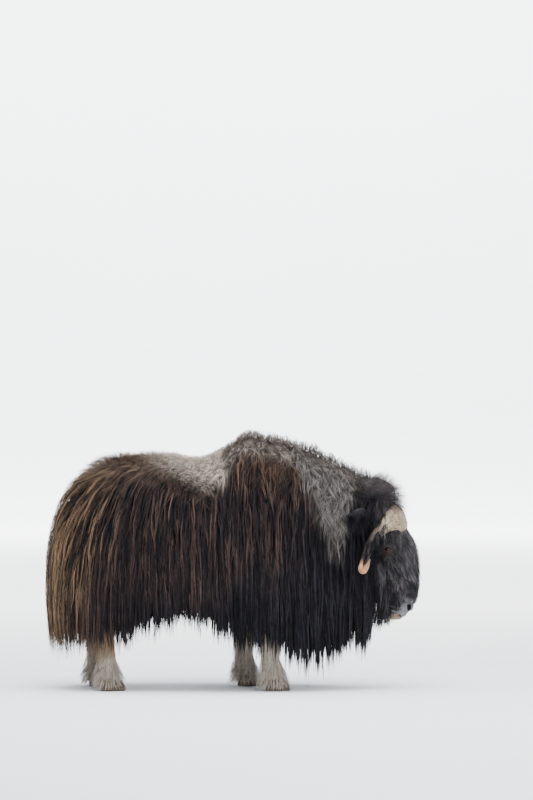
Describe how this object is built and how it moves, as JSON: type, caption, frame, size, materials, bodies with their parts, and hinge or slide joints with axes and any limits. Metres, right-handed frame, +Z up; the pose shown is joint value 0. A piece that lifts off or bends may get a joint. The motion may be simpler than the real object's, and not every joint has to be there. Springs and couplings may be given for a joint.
{
  "type": "muskox",
  "caption": "Life-size standing muskox with a low-held head, a broad horn boss, downcurved horns and a long shaggy coat hanging to the lower legs.",
  "frame": {"origin": "on the floor, under the centre of the body's bounding box", "axes": "+X the way the animal faces, +Y its left side, +Z up"},
  "size_m": [2.0331, 0.8492, 1.368],
  "materials": {
    "coat": "long coarse guard hair over dense wool, near-black brown with grizzled and tan streaks",
    "head_hair": "short dark hair on the face, dark woolly cap, pale muzzle",
    "leg_hair": "short dense cream-tan hair, feathered behind the cannon",
    "horn": "cream-grey rough boss running into smooth orange-brown horn with a pale tip",
    "hoof": "dark horn, worn and dusty at the toes",
    "eye": "wet dark brown eye"
  },
  "bodies": {
    "root": {"barrel_left": "coat", "barrel_right": "coat", "ear_left": "head_hair", "ear_right": "head_hair", "eye_left": "eye", "eye_right": "eye", "foreleg_left": "leg_hair", "foreleg_right": "leg_hair", "haunch_left": "coat", "haunch_right": "coat", "head": "head_hair", "hindleg_left": "leg_hair", "hindleg_right": "leg_hair", "hoof_fore_left": "hoof", "hoof_fore_right": "hoof", "hoof_hind_left": "hoof", "hoof_hind_right": "hoof", "horn_left": "horn", "horn_right": "horn", "neck_left": "coat", "neck_right": "coat", "shoulder_left": "coat", "shoulder_right": "coat", "tail": "coat"}
  },
  "joints": []
}
